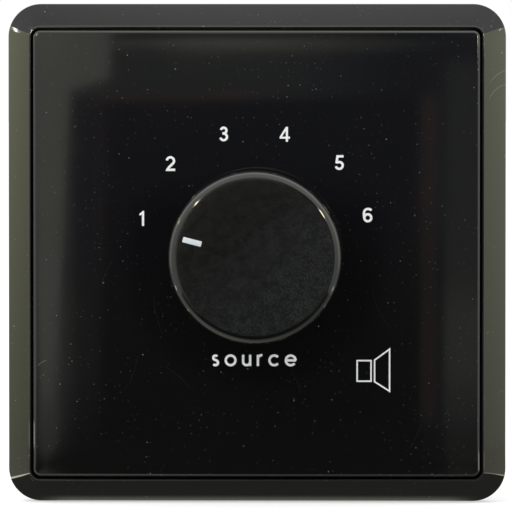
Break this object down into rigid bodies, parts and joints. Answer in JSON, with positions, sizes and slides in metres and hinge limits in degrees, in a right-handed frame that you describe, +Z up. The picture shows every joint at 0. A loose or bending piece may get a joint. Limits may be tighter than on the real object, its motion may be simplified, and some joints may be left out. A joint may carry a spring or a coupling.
{
  "type": "audio source selector",
  "caption": "Wall-mounted audio source selector: square cover frame, glossy centre plate and a large knob that turns a rotary switch, with screw terminals behind a mounting bridge.",
  "frame": {"origin": "centre of the box screw pattern, in the wall plane (the back of the mounting bridge and of the cover frame), on the knob's axis", "axes": "+Z up the wall, +X to the right seen from the front, +Y into the wall; the front faces -Y"},
  "size_m": [0.08, 0.0492, 0.08],
  "materials": {
    "gloss_black": "high gloss black, moulded",
    "knob_black": "satin black with a smooth shoulder",
    "marking_white": "white print and inlay",
    "zinc_steel": "bright zinc plating",
    "nickel_brass": "nickel-plated brass",
    "die_cast": "die-cast, satin",
    "switch_black": "glass-filled nylon",
    "phenolic_brown": "brown phenolic sheet",
    "contact_silver": "silver-plated brass",
    "board_green": "green solder mask over glass fibre",
    "terminal_green": "moulded terminal housing",
    "terminal_metal": "tin-plated brass",
    "screw_steel": "zinc-plated steel",
    "solder": "bright solder",
    "shaft_steel": "ground steel",
    "spring_steel": "spring steel"
  },
  "bodies": {
    "wall_unit": {"cover_frame": "gloss_black", "centre_plate": "gloss_black", "mounting_bridge": "zinc_steel", "bushing_lock_washer": "zinc_steel", "bushing_nut": "nickel_brass", "plate_washer": "zinc_steel", "plate_nut": "nickel_brass", "switch_bushing": "die_cast", "switch_stop_washer": "zinc_steel", "switch_housing": "switch_black", "switch_base": "phenolic_brown", "housing_rivets": "nickel_brass", "fixed_contacts": "contact_silver", "common_contacts": "contact_silver", "circuit_board": "board_green", "board_standoffs": "nickel_brass", "board_screws": "screw_steel", "terminal_block_upper": "terminal_green", "terminal_block_lower": "terminal_green", "terminal_clamps": "terminal_metal", "terminal_screws": "screw_steel", "terminal_pins": "terminal_metal", "solder_joints": "solder"},
    "knob": {"knob_cap": "knob_black", "knob_pointer": "marking_white", "knob_spring_clip": "spring_steel", "switch_shaft": "shaft_steel", "shaft_retaining_ring": "nickel_brass", "switch_rotor": "switch_black", "wiper_contacts": "contact_silver", "detent_balls": "shaft_steel", "detent_springs": "spring_steel"}
  },
  "joints": [
    {"name": "knob_turn", "type": "hinge", "parent": "wall_unit", "child": "knob", "pos_m": [0, 0, 0], "axis": [0, 1, 0], "range_deg": [0, 150]}
  ]
}
